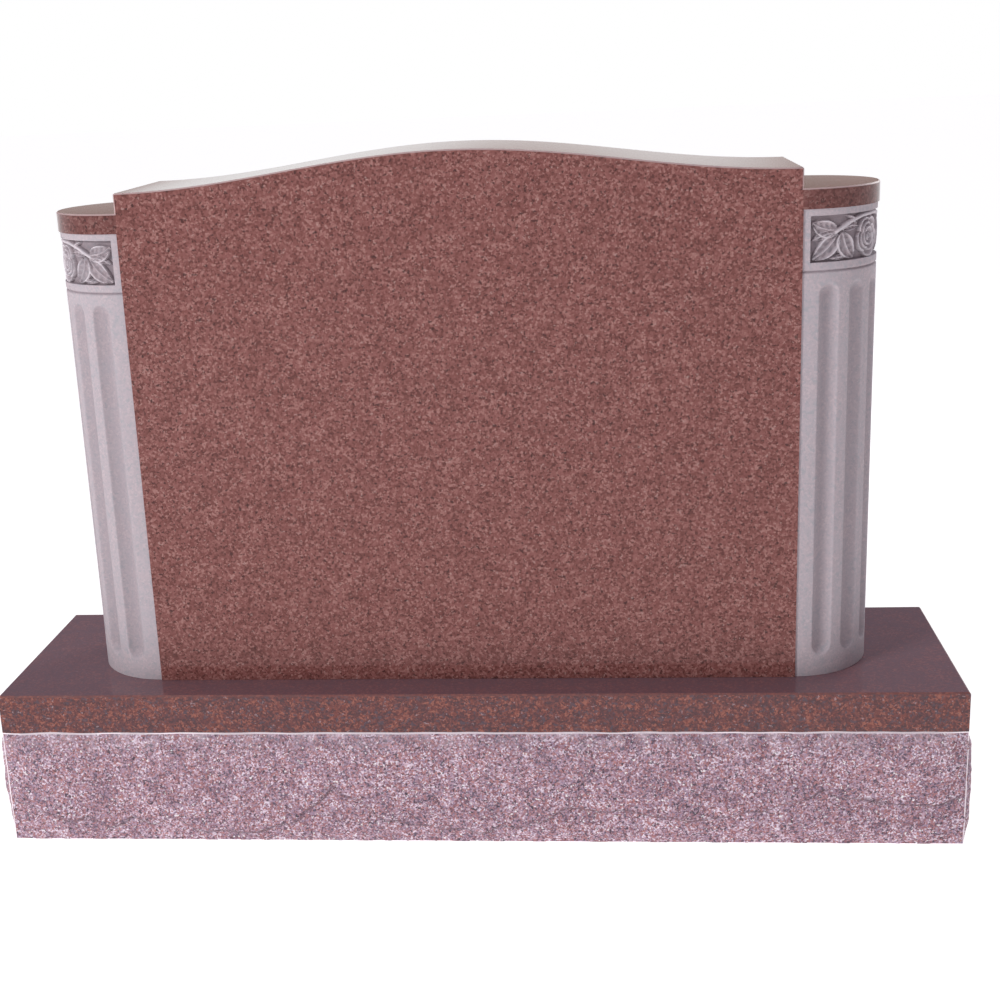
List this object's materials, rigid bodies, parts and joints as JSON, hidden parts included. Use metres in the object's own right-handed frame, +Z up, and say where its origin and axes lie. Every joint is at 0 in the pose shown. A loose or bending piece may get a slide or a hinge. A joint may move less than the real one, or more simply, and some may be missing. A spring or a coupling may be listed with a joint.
{
  "type": "granite monument",
  "caption": "Upright red granite monument: polished serpentine-topped die with half-round fluted ends and a carved rose band, standing on a rock-pitched base.",
  "frame": {"origin": "middle of the underside of the base", "axes": "+X along the monument to the right as seen from the front, +Y to the back, +Z up"},
  "size_m": [1.247, 0.333, 0.8653],
  "materials": {
    "base_granite": "rock-pitched sides, polished top and margin",
    "die_granite": "polished faces, sandblasted fluted and carved ends"
  },
  "bodies": {
    "root": {"base": "base_granite", "die": "die_granite"}
  },
  "joints": []
}
